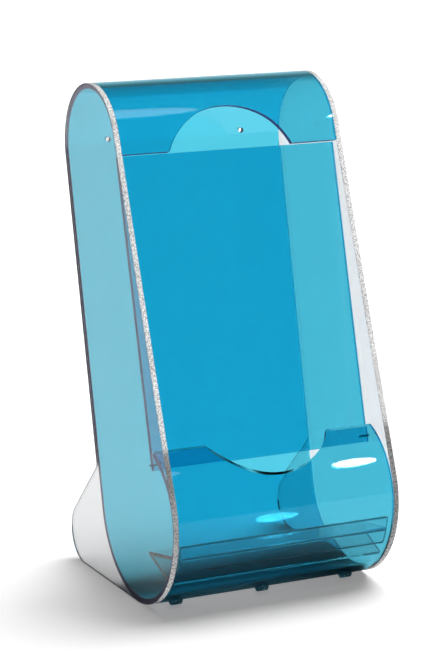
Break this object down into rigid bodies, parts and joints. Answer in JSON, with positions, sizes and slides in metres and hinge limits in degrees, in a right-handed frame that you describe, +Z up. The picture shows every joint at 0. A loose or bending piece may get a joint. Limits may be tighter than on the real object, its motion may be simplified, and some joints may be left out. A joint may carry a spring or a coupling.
{
  "type": "safety glasses dispenser",
  "caption": "Tall acrylic safety glasses dispenser: rolled blue case between clear footed end panels, with a tilt-out door, a hood notch and a scooped lip.",
  "frame": {"origin": "on the floor, at the middle of the width and of the depth", "axes": "+X to the right seen from the front, +Y to the rear, +Z up"},
  "size_m": [0.2128, 0.2244, 0.4354],
  "materials": {
    "blue_acrylic": "polished transparent blue acrylic sheet",
    "clear_acrylic": "polished clear acrylic sheet with laser-cut edges",
    "steel_pin": "plain steel wire",
    "clear_rubber": "clear soft polyurethane"
  },
  "bodies": {
    "case": {"body_sheet": "blue_acrylic", "left_end_panel": "clear_acrylic", "right_end_panel": "clear_acrylic", "ledge": "clear_acrylic", "ledge_strip": "clear_acrylic", "bumper_left": "clear_rubber", "bumper_centre": "clear_rubber", "bumper_right": "clear_rubber"},
    "door": {"front_door": "blue_acrylic", "left_hinge_pin": "steel_pin", "right_hinge_pin": "steel_pin"}
  },
  "joints": [
    {"name": "door_tilt", "type": "hinge", "parent": "case", "child": "door", "pos_m": [0, -0.06404, 0.12735], "axis": [1, 0, 0], "range_deg": [0, 23]}
  ]
}
